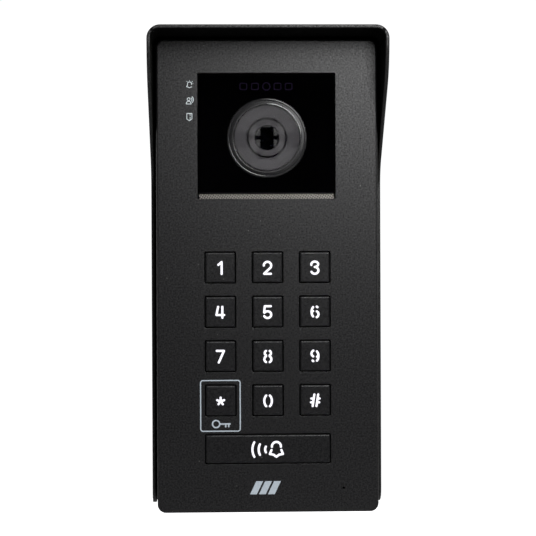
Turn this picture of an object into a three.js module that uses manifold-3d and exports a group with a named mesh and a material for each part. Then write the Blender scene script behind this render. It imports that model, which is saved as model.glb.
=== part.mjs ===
// Wall-mounted door intercom panel: a coated metal door station with a camera, a
// twelve-key pad and a call button, held in a rain hood. Millimetres, +Z up.
//
// The origin is the centre of the hood's back, on the wall. The wall is the plane
// y = 0, the panel faces -Y, and +X is to the right of a person who stands before it.
// Every piece is laid out from the front face backwards: a depth is a y value.

import * as THREE from "three";
import { mergeVertices } from "three/addons/utils/BufferGeometryUtils.js";
import Module from "manifold-3d";

const wasm = await Module();
wasm.setup();

// ---------- driving dimensions ----------

const CLEAR = 0.3; // clearance between neighbours that touch on the real panel
const FACE_Y = -30; // the flat front of the station
const CURVE_STEPS = 5; // straight pieces in each bend of the hood
const CORNER_STEPS = 2; // straight pieces in each rounded corner
const TURN_STEPS = 20; // sides of the larger turned pieces
const SMALL_TURN_STEPS = 10; // sides of screws, holes and posts

const HOOD = {
  width: 89.4,
  height: 181.65,
  sheet: 1.4,
  cornerRadius: 5,
  flangeY: -14.7, // front edge of the shallow side flanges
  topY: -51.7, // front edge of the shade over the camera
  fullDepthBand: 5.16, // height at the top where the sides keep the full depth
  upperBend: 24, // radius where the side edge leaves the full depth
  lowerBend: 15, // radius where it runs into the shallow flange
  footBend: 6, // rounding of the flange's lower front corner
};

const COVER = {
  width: 84.4,
  bottom: -92.05,
  top: 88.25,
  cornerRadius: 3.2,
  faceThickness: 2.5,
  wall: 2,
  rearY: -12.2,
  edgeBevel: 0.8,
};

const HOUSING = { inset: 0.6, frontY: -10.9, rearY: -1.7, wall: 2 };

const WINDOW = {
  centreX: -0.2,
  width: 52.5,
  bottom: 27.35,
  top: 75.35,
  cornerClip: 0.35,
  recess: 0.8,
  meshHeight: 2,
};

const DOME = {
  x: 0,
  z: 50.7,
  frontY: -34.6,
  crownRadius: 30,
  crownEdge: 12.2,
  radius: 12.8,
  wall: 0.8,
  flangeRadius: 13.8,
};

const KEYPAD = {
  columns: [-18, 0, 18],
  topRowZ: 1.36,
  rowPitch: 16.87,
  opening: [12, 12.2],
};

const CALL_BUTTON = { x: -0.05, z: -67.78, opening: [48, 11.55] };

const KEY = {
  clearance: 0.35, // between the cap's side and the opening
  proud: 0.5,
  skin: 1,
  wall: 1,
  lip: 1.15, // how far the retaining lip reaches past the cap
  lipThickness: 0.8,
  cornerClip: 0.25,
  bevel: 0.4,
  legendStroke: 1.0,
};

const MIC = { x: 28.77, z: -82.92, holeRadius: 0.45 };
const COVER_SCREWS = [
  [-35.8, 82],
  [35.8, 82],
  [35.8, -85.6],
  [-35.8, -85.6],
];

// ---------- values worked out from them ----------

const coverRearOfFace = FACE_Y + COVER.faceThickness;
const hoodTop = HOOD.height / 2;
const hoodBottom = -HOOD.height / 2;
const glassFrontY = FACE_Y + WINDOW.recess;
const glassFlangeRearY = coverRearOfFace + CLEAR + 1;
const keyLipFrontY = coverRearOfFace + CLEAR;
const keyLipRearY = keyLipFrontY + KEY.lipThickness;
const keyFrontY = FACE_Y - KEY.proud;
const insertStemY = keyLipRearY + 0.6;
const matDomeY = insertStemY + CLEAR;
const matFrontY = matDomeY + 0.9;
const matRearY = matFrontY + 1;
const keyBoardFrontY = matRearY + CLEAR;
const keyBoardRearY = keyBoardFrontY + 1.2;

// ---------- solids ----------

// A closed three.js geometry as a solid that can be joined and cut.
function solid(geometry) {
  const loose = geometry.index ? geometry.toNonIndexed() : geometry;
  const bare = new THREE.BufferGeometry();
  bare.setAttribute("position", loose.getAttribute("position"));
  const merged = mergeVertices(bare, 1e-4);
  const mesh = new wasm.Mesh({
    numProp: 3,
    vertProperties: merged.attributes.position.array,
    triVerts: new Uint32Array(merged.index.array),
  });
  return new wasm.Manifold(mesh);
}

// A solid as a three.js geometry with flat faces.
function geometryOf(manifold) {
  const mesh = manifold.getMesh();
  const geometry = new THREE.BufferGeometry();
  geometry.setAttribute("position", new THREE.BufferAttribute(mesh.vertProperties, 3));
  geometry.setIndex(new THREE.BufferAttribute(mesh.triVerts, 1));
  const flat = geometry.toNonIndexed();
  flat.computeVertexNormals();
  return flat;
}

const join = (pieces) => pieces.reduce((whole, piece) => whole.add(piece));
const cut = (body, tools) => tools.reduce((left, tool) => left.subtract(tool), body);

// A box between two x, two y and two z values.
function block([x0, x1], [y0, y1], [z0, z1]) {
  const box = new THREE.BoxGeometry(x1 - x0, y1 - y0, z1 - z0);
  return solid(box.translate((x0 + x1) / 2, (y0 + y1) / 2, (z0 + z1) / 2));
}

// A shape drawn in x and z, with thickness from y = rear forwards to y = front. Its
// edges can be bevelled.
function slab(shape, rear, front, bevel = 0) {
  const geometry = new THREE.ExtrudeGeometry(shape, {
    depth: rear - front - 2 * bevel,
    curveSegments: CORNER_STEPS,
    bevelEnabled: bevel > 0,
    bevelThickness: bevel,
    bevelSize: bevel,
    bevelOffset: -bevel,
    bevelSegments: 1,
  });
  return solid(geometry.rotateX(Math.PI / 2).translate(0, rear - bevel, 0));
}

// A slab whose front edge alone is bevelled.
function bevelledSlab(shape, rear, front, bevel) {
  const whole = slab(shape, rear + 2 * bevel, front, bevel);
  return whole.subtract(block([-200, 200], [rear, rear + 10], [-200, 200]));
}

// A shape drawn in y and z, with thickness from x = left to x = right.
function sideSlab(shape, left, right) {
  const geometry = new THREE.ExtrudeGeometry(shape, {
    depth: right - left,
    curveSegments: CURVE_STEPS,
    bevelEnabled: false,
  });
  const toSide = new THREE.Matrix4().makeBasis(
    new THREE.Vector3(0, 1, 0),
    new THREE.Vector3(0, 0, 1),
    new THREE.Vector3(1, 0, 0),
  );
  return solid(geometry.applyMatrix4(toSide).translate(left, 0, 0));
}

// A profile of [radius, y] points turned about a line along y. The profile runs from
// the rear to the front, on the side away from the axis.
function turned(profile, x, z, steps = TURN_STEPS) {
  const points = profile.map(([radius, y]) => new THREE.Vector2(radius, y));
  const geometry = new THREE.LatheGeometry(points, steps);
  return solid(geometry.translate(x, 0, z));
}

// A plain round bar along y.
const rod = (radius, rear, front, x, z, steps = SMALL_TURN_STEPS) =>
  turned([[0, front], [radius, front], [radius, rear], [0, rear]], x, z, steps);

// A tube along y.
const tube = (outer, inner, rear, front, x, z, steps = TURN_STEPS) =>
  rod(outer, rear, front, x, z, steps).subtract(rod(inner, rear + 1, front - 1, x, z, steps));

// ---------- flat shapes ----------

function roundedRect(width, height, radius, x = 0, z = 0) {
  const [right, top] = [width / 2 - radius, height / 2 - radius];
  const shape = new THREE.Shape();
  shape.absarc(x + right, z + top, radius, 0, Math.PI / 2);
  shape.absarc(x - right, z + top, radius, Math.PI / 2, Math.PI);
  shape.absarc(x - right, z - top, radius, Math.PI, 1.5 * Math.PI);
  shape.absarc(x + right, z - top, radius, 1.5 * Math.PI, 2 * Math.PI);
  return shape;
}

// A rectangle with its small corners clipped.
function clippedRect(width, height, clip, x = 0, z = 0) {
  const [right, top] = [width / 2, height / 2];
  const corners = [
    [right, top - clip],
    [right - clip, top],
    [clip - right, top],
    [-right, top - clip],
    [-right, clip - top],
    [clip - right, -top],
    [right - clip, -top],
    [right, clip - top],
  ];
  return new THREE.Shape(corners.map(([dx, dz]) => new THREE.Vector2(x + dx, z + dz)));
}

// The outline of the cover and of what follows it, drawn in from the cover's edge.
function coverOutline(inset, radius) {
  const height = COVER.top - COVER.bottom - 2 * inset;
  const middle = (COVER.top + COVER.bottom) / 2;
  return roundedRect(COVER.width - 2 * inset, height, radius, 0, middle);
}

// Points along part of an ellipse, its angles in degrees.
function bend(x, z, radiusX, radiusZ, from, to, steps = 5) {
  return Array.from({ length: steps + 1 }, (_, i) => {
    const angle = THREE.MathUtils.degToRad(from + ((to - from) * i) / steps);
    return [x + radiusX * Math.cos(angle), z + radiusZ * Math.sin(angle)];
  });
}

// The outline of a pen stroke through the points, with mitred corners and blunt ends.
function strokeShape(points, width) {
  const line = points.map(([x, z]) => new THREE.Vector2(x, z));
  const last = line.length - 1;
  const heading = (i) => line[i + 1].clone().sub(line[i]).normalize();
  const leftOf = (v) => new THREE.Vector2(-v.y, v.x);
  const sideways = line.map((_, i) => {
    const before = heading(Math.max(i - 1, 0));
    const after = heading(Math.min(i, last - 1));
    const middle = leftOf(before).add(leftOf(after)).normalize();
    return middle.divideScalar(middle.dot(leftOf(after)));
  });
  const side = (sign) => line.map((p, i) => p.clone().addScaledVector(sideways[i], (sign * width) / 2));
  const tip = (i, direction, sign) =>
    line[i]
      .clone()
      .addScaledVector(direction, width * 0.45)
      .addScaledVector(leftOf(direction), sign * width * 0.22);
  const ahead = heading(last - 1);
  const behind = heading(0).negate();
  return new THREE.Shape([
    ...side(-1),
    tip(last, ahead, -1),
    tip(last, ahead, 1),
    ...side(1).reverse(),
    tip(0, behind, -1),
    tip(0, behind, 1),
  ]);
}

// Strokes moved to a place and made into one cutter between two depths.
function strokesSolid(strokes, width, x, z, rear, front) {
  const placed = strokes.map((points) => points.map(([px, pz]) => [px + x, pz + z]));
  return join(placed.map((points) => slab(strokeShape(points, width), rear, front)));
}

// ---------- legends ----------

const mirrorX = (points) => points.map(([x, z]) => [-x, z]);
const halfTurn = (points) => points.map(([x, z]) => [-x, -0.2 - z]);

const six = [
  [[1.1, 1.65], ...bend(0.15, -0.1, 1.57, 2.45, 75, 275, 8), ...bend(0.05, -1.1, 1.35, 1.3, -75, 110, 6)],
];
const leftOfEight = [
  ...bend(-0.05, 1.15, 1.25, 1.05, 90, 225),
  ...bend(-0.05, -1.2, 1.35, 1.3, 135, 270),
];
const leftOfZero = bend(0, -0.2, 1.5, 2.4, 90, 270, 6);
const starArm = (degrees) => [[-0.05, -0.25], bend(-0.05, -0.25, 1.35, 1.35, degrees, degrees, 1)[0]];

// Each legend is a set of strokes. A closed loop has a bridge across it, as in any
// stencil, so that its middle stays on the key.
const LEGENDS = {
  1: { strokes: [[[-0.7, 1.05], [0.5, 1.95]], [[0.55, 2.1], [0.55, -2.4]]] },
  2: { strokes: [[...bend(0, 0.72, 1.42, 1.42, 180, -35, 6), [-1.35, -2.3]], [[-1.4, -2.42], [1.3, -2.42]]] },
  3: { strokes: [bend(0, 1.13, 1.32, 1.03, 195, -90, 7), bend(0, -1.2, 1.4, 1.3, 90, -155, 7)] },
  4: { strokes: [[[-0.85, 1.95], [-1.5, -1.15], [1.45, -1.15]], [[0.75, 1.95], [0.75, -2.2]]] },
  5: { strokes: [[[1.2, 2.1], [-1.1, 2.1], [-1.35, -0.3]], bend(-0.05, -1.1, 1.4, 1.3, 145, -155, 7)] },
  6: { strokes: six, bridge: 0.5 },
  7: { strokes: [[[-1.45, 2.07], [1.3, 2.07]], [[1.3, 2.07], [-0.68, -2.35]]] },
  8: { strokes: [leftOfEight, mirrorX(leftOfEight)], bridge: 0.5 },
  9: { strokes: six.map(halfTurn), bridge: 0.5 },
  star: { strokes: [90, 18, 162, 234, 306].map(starArm) },
  0: { strokes: [leftOfZero, mirrorX(leftOfZero)], bridge: 0.5 },
  hash: {
    strokes: [
      [[-0.34, 2.1], [-1.0, -2.3]],
      [[1.12, 2.1], [0.44, -2.3]],
      [[-0.7, 0.58], [-1.45, 0.58]],
      [[-0.9, -0.88], [-1.6, -0.88]],
      [[0.9, 0.58], [1.6, 0.58]],
      [[0.7, -0.88], [1.45, -0.88]],
    ],
  },
};

// Three sound arcs beside a bell: its crown, and its skirt with the clapper below.
const CALL_LEGEND = {
  strokes: [
    bend(-0.51, -0.2, 5.73, 5.73, 147, 213, 4),
    bend(0.72, -0.2, 4.41, 4.41, 150, 210, 3),
    bend(1.04, -0.2, 2.28, 2.28, 143, 217, 3),
    bend(3.16, 0.95, 1.72, 1.72, 185, -5, 6),
    [[1.28, -0.4], [0.65, -1.92], [2.08, -2.2], [3.13, -3.0], [4.17, -2.2], [5.65, -1.92], [5.05, -0.4]],
  ],
};

// The three status pictograms beside the window: a ringing bell, a speaking person and
// a door. They are cut through the cover.
const STATUS_ICONS = [
  {
    x: -29.3,
    z: 71,
    strokes: [
      bend(0, 0.1, 0.85, 0.95, 215, -35, 6),
      bend(0, 0.15, 1.15, 1.5, 215, 325, 4),
    ],
  },
  {
    x: -29.2,
    z: 64.8,
    strokes: [
      bend(-0.55, 0.65, 0.5, 0.5, 230, -50, 6),
      bend(-0.55, -1.25, 0.85, 0.85, 175, 5, 4),
      bend(-0.2, 0.3, 1.4, 1.4, 40, -40, 3),
    ],
  },
  {
    x: -29.47,
    z: 58.65,
    strokes: [[[-0.95, -0.7], [-0.95, 1.35], [0.95, 1.35], [0.95, -0.9], [0, -1.3]]],
  },
];
const ICON_STROKE = 0.34;

// ---------- the hood ----------

function hoodOutline(inset, bottom) {
  const halfWidth = HOOD.width / 2 - inset;
  const top = hoodTop - inset;
  const radius = HOOD.cornerRadius - inset;
  const shape = new THREE.Shape();
  shape.moveTo(-halfWidth, bottom);
  shape.lineTo(halfWidth, bottom);
  shape.absarc(halfWidth - radius, top - radius, radius, 0, Math.PI / 2);
  shape.absarc(-halfWidth + radius, top - radius, radius, Math.PI / 2, Math.PI);
  return shape;
}

// The air in front of the hood's side edge, from the shade down to the foot.
function hoodFrontCut() {
  const { flangeY, topY, upperBend, lowerBend, footBend } = HOOD;
  const far = -80;
  const bendTop = hoodTop - HOOD.fullDepthBand;
  const flangeTop = hoodTop - 58.3;
  const shape = new THREE.Shape();
  shape.moveTo(far, hoodTop + 10);
  shape.lineTo(topY, hoodTop + 10);
  shape.absarc(topY + upperBend, bendTop, upperBend, Math.PI, 1.25 * Math.PI);
  shape.absarc(flangeY - lowerBend, flangeTop, lowerBend, Math.PI / 4, 0, true);
  shape.absarc(flangeY + footBend, hoodBottom + footBend, footBend, Math.PI, 1.5 * Math.PI);
  shape.lineTo(flangeY + footBend, hoodBottom - 10);
  shape.lineTo(far, hoodBottom - 10);
  return sideSlab(shape, -60, 60);
}

const SECURITY = { y: -5.4, tabTop: -86, pocketTop: -85, pocketHalfWidth: 9.5 };

function rainHood() {
  const { sheet } = HOOD;
  const shell = slab(hoodOutline(0, hoodBottom), 0, HOOD.topY);
  const inside = slab(hoodOutline(sheet, hoodBottom - 10), -sheet, HOOD.topY - 10);
  const wallSlots = [-1, 1].flatMap((side) =>
    [-64, 64].map((z) => slab(roundedRect(4.6, 9, 2.2, side * 26, z), 5, -5)),
  );
  const cableOpening = slab(roundedRect(30, 48, 3, 0, -37), 5, -5);
  const hook = join([
    block([-5, 5], [-5.4, -0.7], [73, 74.4]),
    block([-5, 5], [-5.4, -4], [73.7, 77.4]),
  ]);
  const tab = block([-7, 7], [-8.8, -0.7], [SECURITY.tabTop - sheet, SECURITY.tabTop]);
  const tabHole = uprightRod(1.75, SECURITY.tabTop - 5, SECURITY.tabTop + 5, 0, SECURITY.y);
  const formed = join([cut(shell, [inside, hoodFrontCut()]), hook, tab]);
  return cut(formed, [...wallSlots, cableOpening, tabHole]);
}

// A round bar along z.
function uprightRod(radius, low, high, x, y, steps = SMALL_TURN_STEPS) {
  const bar = new THREE.CylinderGeometry(radius, radius, high - low, steps);
  return solid(bar.rotateX(Math.PI / 2).translate(x, y, (low + high) / 2));
}

// ---------- the station's shells ----------

const keyOpening = (button) => slab(clippedRect(...button.opening, 0.3, button.x, button.z), -20, -40);

function frontCover(buttons) {
  const { wall, rearY, edgeBevel, cornerRadius } = COVER;
  const shell = bevelledSlab(coverOutline(0, cornerRadius), rearY, FACE_Y, edgeBevel);
  const inside = slab(coverOutline(wall, cornerRadius - 1.6), rearY + 5, coverRearOfFace);
  const windowHeight = WINDOW.top - WINDOW.bottom;
  const windowZ = (WINDOW.top + WINDOW.bottom) / 2;
  const { width, cornerClip, centreX } = WINDOW;
  const windowShape = clippedRect(width, windowHeight, cornerClip, centreX, windowZ);
  const posts = COVER_SCREWS.map(([x, z]) => rod(3.5, rearY - 1.1, coverRearOfFace - 1, x, z));
  const postHoles = COVER_SCREWS.map(([x, z]) => rod(1.75, rearY, -24, x, z));
  const icons = STATUS_ICONS.map((icon) => strokesSolid(icon.strokes, ICON_STROKE, icon.x, icon.z, -20, -40));
  return cut(join([cut(shell, [inside]), ...posts]), [
    slab(windowShape, -20, -40),
    ...buttons.map(keyOpening),
    ...postHoles,
    ...icons,
    rod(MIC.holeRadius, -20, -40, MIC.x, MIC.z, 8),
  ]);
}

function rearHousing() {
  const { inset, frontY, rearY, wall } = HOUSING;
  const backFrontY = rearY - wall;
  const shell = slab(coverOutline(inset, 2.6), rearY, frontY);
  const inside = slab(coverOutline(inset + wall, 1.2), backFrontY, frontY - 5);
  const posts = COVER_SCREWS.map(([x, z]) => rod(4, rearY - 0.5, frontY - 2.1, x, z));
  const screwHoles = COVER_SCREWS.map(([x, z]) => rod(1.75, 5, -20, x, z));
  const headSeats = COVER_SCREWS.map(([x, z]) => rod(3.3, 5, rearY - 3, x, z));
  const lockBlock = block([-11.5, 11.5], [frontY, rearY - 0.5], [-91, -76]);
  const { pocketHalfWidth, pocketTop } = SECURITY;
  const lockPocket = block([-pocketHalfWidth, pocketHalfWidth], [-9.4, 5], [-99, pocketTop]);
  const lockHole = uprightRod(1.75, -90, -77.4, 0, SECURITY.y);
  const terminalWindow = slab(clippedRect(40, 20, 1, 0, -45), 5, backFrontY - 1);
  const hookSlot = block([-6, 6], [backFrontY - 1, 5], [68.5, 74.7]);
  const body = join([cut(shell, [inside]), ...posts, lockBlock]);
  return cut(body, [...screwHoles, ...headSeats, lockPocket, lockHole, terminalWindow, hookSlot]);
}

function housingSeal() {
  const rear = HOUSING.frontY - CLEAR;
  const front = COVER.rearY + CLEAR;
  const outer = slab(coverOutline(0.6, 2.6), rear, front);
  return outer.subtract(slab(coverOutline(1.8, 1.4), rear + 1, front - 1));
}

// ---------- window, dome and camera ----------

function cameraWindow() {
  const bottom = WINDOW.bottom + WINDOW.meshHeight + 0.4;
  const top = WINDOW.top - CLEAR;
  const width = WINDOW.width - 2 * CLEAR;
  const pane = clippedRect(width, top - bottom, 0.3, WINDOW.centreX, (top + bottom) / 2);
  const flangeTop = WINDOW.top + 2;
  const flange = clippedRect(54, flangeTop - bottom, 0.3, 0, (flangeTop + bottom) / 2);
  const glass = join([
    slab(pane, coverRearOfFace + CLEAR + 0.1, glassFrontY),
    slab(flange, glassFlangeRearY, coverRearOfFace + CLEAR),
  ]);
  return glass.subtract(rod(15.5, -10, -40, DOME.x, DOME.z, TURN_STEPS));
}

const domeRimY = FACE_Y + 0.4;

// The ring round the dome, with a lip that holds the dome's flange.
function domeBezel() {
  const front = FACE_Y - 0.25;
  return join([
    tube(15.2, 14.1, glassFlangeRearY, front, DOME.x, DOME.z),
    tube(14.3, 12.9, domeRimY - CLEAR, front, DOME.x, DOME.z),
  ]);
}

// The cover over the lens: part of a sphere on a short wall, open at the back.
function lensDome() {
  const { frontY, crownRadius, crownEdge, radius, wall, flangeRadius } = DOME;
  const centreY = frontY + crownRadius;
  const arc = (sphere, edge, steps) =>
    Array.from({ length: steps + 1 }, (_, i) => {
      const r = (edge * i) / steps;
      return [r, centreY - Math.sqrt(sphere ** 2 - r ** 2)];
    });
  const shoulderY = centreY - Math.sqrt(crownRadius ** 2 - crownEdge ** 2) + 0.6;
  const profile = [
    ...arc(crownRadius, crownEdge, 5),
    [radius, shoulderY],
    [radius, domeRimY],
    [flangeRadius, domeRimY],
    [flangeRadius, domeRimY + 1.4],
    [radius - wall, domeRimY + 1.4],
    ...arc(crownRadius - wall, radius - wall, 3).reverse(),
  ];
  return turned(profile, DOME.x, DOME.z);
}

const LENS = { barrelRadius: 7.95, frontY: -29.4, rearY: -18.2, seatRadius: 6.9, seatY: -27 };
const CAMERA_BOARD = { frontY: -16.6, rearY: -15.4, side: 30 };

function lensBarrel() {
  const { barrelRadius, frontY, rearY, seatRadius, seatY } = LENS;
  return cut(rod(barrelRadius, rearY, frontY, DOME.x, DOME.z, TURN_STEPS), [
    rod(seatRadius, seatY, frontY - 1, DOME.x, DOME.z, TURN_STEPS),
    rod(4.5, rearY + 1, seatY - 1, DOME.x, DOME.z, TURN_STEPS),
  ]);
}

function lensElement() {
  const rear = LENS.seatY - CLEAR;
  const edge = LENS.seatRadius - CLEAR;
  const profile = [
    [0, -31.4],
    [edge * 0.4, -31.05],
    [edge * 0.75, -30.1],
    [edge, -29.1],
    [edge, rear],
    [0, rear],
  ];
  return turned(profile, DOME.x, DOME.z);
}

function lensHolder() {
  const rimFront = FACE_Y + 0.4 + 1.4 + CLEAR;
  const rim = rod(DOME.flangeRadius, rimFront + 1, rimFront, DOME.x, DOME.z, TURN_STEPS);
  const sleeve = rod(11, CAMERA_BOARD.frontY - CLEAR, rimFront + 0.5, DOME.x, DOME.z, TURN_STEPS);
  return join([rim, sleeve]).subtract(rod(8.3, -10, -40, DOME.x, DOME.z, TURN_STEPS));
}

function cameraBoard() {
  const half = CAMERA_BOARD.side / 2;
  return block([-half, half], [CAMERA_BOARD.frontY, CAMERA_BOARD.rearY], [DOME.z - half, DOME.z + half]);
}

function imageSensor() {
  const rear = CAMERA_BOARD.frontY - CLEAR;
  return block([-4.5, 4.5], [rear - 0.9, rear], [DOME.z - 4.5, DOME.z + 4.5]);
}

// ---------- night light row ----------

const NIGHT = {
  z: 70.3,
  ledXs: [-8.87, -4.46, 4.14, 8.36],
  sensorX: -0.12,
  side: 2.9,
  boardY: [-24.6, -23.4],
};

const nightBoard = () => block([-13, 13], NIGHT.boardY, [NIGHT.z - 3, NIGHT.z + 3]);

function nightLed(x) {
  const half = NIGHT.side / 2;
  const rear = NIGHT.boardY[0] - CLEAR;
  return block([x - half, x + half], [rear - 1, rear], [NIGHT.z - half, NIGHT.z + half]);
}

const lightSensor = () =>
  rod(NIGHT.side / 2, NIGHT.boardY[0] - CLEAR, NIGHT.boardY[0] - CLEAR - 1, NIGHT.sensorX, NIGHT.z);

// ---------- sound ----------

const SPEAKER = { x: 0, z: 18, radius: 14, frontY: -21.6 };

// The perforated strip under the window: two staggered rows of holes.
function speakerMesh() {
  const { centreX, width, bottom, meshHeight, recess } = WINDOW;
  const half = width / 2 - CLEAR;
  const low = bottom + CLEAR;
  const high = bottom + meshHeight + 0.1;
  const front = FACE_Y + recess + 0.1;
  const strip = block([centreX - half, centreX + half], [front, front + 0.7], [low, high]);
  const pitch = 1.9;
  const holesInRow = Math.floor((2 * half) / pitch) - 1;
  const hole = (x, z) => rod(0.45, front + 2, front - 1, x, z, 4);
  const holes = [0.27, 0.73].flatMap((share, row) =>
    Array.from({ length: holesInRow }, (_, i) => {
      const x = centreX + (i - (holesInRow - 1) / 2) * pitch + (row - 0.5) * (pitch / 2);
      return hole(x, low + share * (high - low));
    }),
  );
  return cut(strip, [join(holes)]);
}

const speakerGasket = () =>
  tube(SPEAKER.radius, SPEAKER.radius - 2.2, SPEAKER.frontY + 1.2, SPEAKER.frontY, SPEAKER.x, SPEAKER.z);

function speakerFrame() {
  const front = SPEAKER.frontY + 1.2 + CLEAR;
  const profile = [
    [11.9, front],
    [SPEAKER.radius, front],
    [SPEAKER.radius, front + 1],
    [8.2, front + 3],
    [8.2, front + 6],
    [0, front + 6],
    [0, front + 4.6],
    [6.4, front + 4.6],
    [6.4, front + 3.4],
    [11.9, front + 1.2],
    [11.9, front],
  ];
  return turned(profile, SPEAKER.x, SPEAKER.z);
}

function speakerCone() {
  const front = SPEAKER.frontY + 1.2 + CLEAR;
  const profile = [
    [0, front + 1.3],
    [3.5, front + 1.9],
    [11.4, front + 0.1],
    [11.4, front + 0.6],
    [4.2, front + 3],
    [0, front + 3],
  ];
  return turned(profile, SPEAKER.x, SPEAKER.z);
}

function microphoneBoot() {
  const front = coverRearOfFace + CLEAR;
  const boot = rod(3.5, front + 5, front, MIC.x, MIC.z, 16);
  const cavity = rod(2.5, front + 6, front + 1, MIC.x, MIC.z, 16);
  const soundHole = rod(0.5, front + 2, front - 1, MIC.x, MIC.z, 8);
  return cut(boot, [cavity, soundHole]);
}

function microphone() {
  const front = coverRearOfFace + CLEAR + 1 + CLEAR;
  return rod(2.1, front + 3.2, front, MIC.x, MIC.z, 16);
}

// ---------- status light guide ----------

// One clear moulding: a bar with a prong behind each status pictogram.
function statusLightGuide() {
  const prongFront = coverRearOfFace + CLEAR;
  const barFront = prongFront + 2.7;
  const prongs = STATUS_ICONS.map((icon) =>
    block([-31, -27.6], [prongFront, barFront + 0.5], [icon.z - 1.8, icon.z + 1.8]),
  );
  return join([block([-31.5, -27.4], [barFront, barFront + 1.2], [55.5, 74]), ...prongs]);
}

// ---------- keys ----------

// Every button: its node name, its legend, its place and its opening in the cover.
function allButtons() {
  const names = [1, 2, 3, 4, 5, 6, 7, 8, 9, "star", 0, "hash"];
  const keys = names.map((legend, i) => ({
    name: `key_${legend}`,
    legend: LEGENDS[legend],
    x: KEYPAD.columns[i % 3],
    z: KEYPAD.topRowZ - KEYPAD.rowPitch * Math.floor(i / 3),
    opening: KEYPAD.opening,
    stems: [0],
  }));
  return [...keys, { name: "call_button", legend: CALL_LEGEND, stems: [-16, 0, 16], ...CALL_BUTTON }];
}

// The size of the button's cap inside its opening.
const capSize = (button) => button.opening.map((side) => side - 2 * KEY.clearance);

function legendCutter({ legend, x, z }) {
  const strokes = strokesSolid(legend.strokes, KEY.legendStroke, x, z, -20, -40);
  if (!legend.bridge) return strokes;
  const half = legend.bridge / 2;
  return strokes.subtract(block([x - half, x + half], [-50, 0], [z - 5, z + 5]));
}

// A metal cap, open at the back, with a lip that keeps it behind the cover.
function keyCap(button) {
  const [width, height] = capSize(button);
  const { x, z } = button;
  const outline = clippedRect(width, height, KEY.cornerClip, x, z);
  const cap = bevelledSlab(outline, keyLipRearY, keyFrontY, KEY.bevel);
  const lipShape = clippedRect(width + 2 * KEY.lip, height + 2 * KEY.lip, 0.6, x, z);
  const lip = slab(lipShape, keyLipRearY, keyLipFrontY);
  const hollow = block(
    [x - width / 2 + KEY.wall, x + width / 2 - KEY.wall],
    [keyFrontY + KEY.skin, keyLipRearY + 1],
    [z - height / 2 + KEY.wall, z + height / 2 - KEY.wall],
  );
  return cut(join([cap, lip]), [hollow, legendCutter(button)]);
}

// The white block behind the legend, with a stem for each dome of the mat.
function lightInsert(button) {
  const [width, height] = capSize(button).map((side) => side - 2 * (KEY.wall + CLEAR));
  const { x, z, stems } = button;
  const blockRear = keyLipRearY + 0.2;
  const core = block(
    [x - width / 2, x + width / 2],
    [keyFrontY + KEY.skin + CLEAR, blockRear],
    [z - height / 2, z + height / 2],
  );
  return join([core, ...stems.map((dx) => rod(1.6, insertStemY, blockRear - 0.5, x + dx, z))]);
}

// The silicone mat: a sheet with a dome under every stem.
function keypadMat(buttons) {
  const root = matFrontY + 0.3;
  const profile = [[0, matDomeY], [2.2, matDomeY], [3.2, root], [0, root]];
  const dome = (x, z) => turned(profile, x, z, 8);
  const domes = buttons.flatMap(({ x, z, stems }) => stems.map((dx) => dome(x + dx, z)));
  return join([slab(clippedRect(58, 83.6, 2, 0, -33.2), matRearY, matFrontY), ...domes]);
}

const keypadBoard = () => slab(clippedRect(60, 85.4, 1, 0, -33.3), keyBoardRearY, keyBoardFrontY);

// ---------- main board and terminals ----------

const MAIN_BOARD = { frontY: -12.6, rearY: -11.4 };

const mainBoard = () => slab(clippedRect(72, 128, 2, 0, 0), MAIN_BOARD.rearY, MAIN_BOARD.frontY);

// A row of wire clamps that faces the wall, reached through the housing's window.
function terminalBlock() {
  const front = MAIN_BOARD.rearY + CLEAR;
  const rear = -4.6;
  const body = block([-17, 17], [front, rear], [-51, -39]);
  const ways = 6;
  const entries = Array.from({ length: ways }, (_, i) => {
    const x = (i - (ways - 1) / 2) * 5.4;
    return block([x - 1.6, x + 1.6], [rear - 3, rear + 1], [-49, -44.6]);
  });
  return cut(body, entries);
}

// ---------- screws ----------

function coverScrew(x, z) {
  const headFront = HOUSING.rearY - 3 + CLEAR;
  return join([rod(2.8, headFront + 2, headFront, x, z), rod(1.4, headFront + 0.5, -22, x, z)]);
}

function securityScrew() {
  const headTop = SECURITY.tabTop - HOOD.sheet - CLEAR;
  return join([
    uprightRod(2.8, headTop - 1.9, headTop, 0, SECURITY.y),
    uprightRod(1.4, headTop - 0.5, -78, 0, SECURITY.y),
  ]);
}

// ---------- materials ----------

function material(color, roughness, metalness = 0, opacity = 1) {
  return new THREE.MeshStandardMaterial({ color, roughness, metalness, opacity, transparent: opacity < 1 });
}

const MATERIALS = {
  coatedMetal: material(0x2b2c2d, 0.6, 0.4),
  keyMetal: material(0x232324, 0.5, 0.5),
  lampWhite: material(0xf6f6ff, 0.5),
  blackPlastic: material(0x121212, 0.6),
  blackAcrylic: material(0x040405, 0.05),
  clearPlastic: material(0xe8eef0, 0.05, 0, 0.35),
  bezelPlastic: material(0x0a0a0b, 0.2),
  perforatedMetal: material(0xb9b4aa, 0.4, 0.9),
  greySilicone: material(0xb7bbbd, 0.8),
  boardGreen: material(0x17452c, 0.55),
  speakerMetal: material(0x8d9094, 0.4, 0.9),
  paperBlack: material(0x1b1a19, 0.9),
  rubberBlack: material(0x0f0f0f, 0.9),
  terminalGreen: material(0x2f7d4a, 0.6),
  lampDark: material(0x2a1830, 0.3),
  screwSteel: material(0xa9abad, 0.3, 1),
};

// ---------- the panel ----------

const panel = new THREE.Group();

function addPiece(name, manifold, look) {
  const mesh = new THREE.Mesh(geometryOf(manifold), look);
  mesh.name = name;
  panel.add(mesh);
}

const buttons = allButtons();

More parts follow.
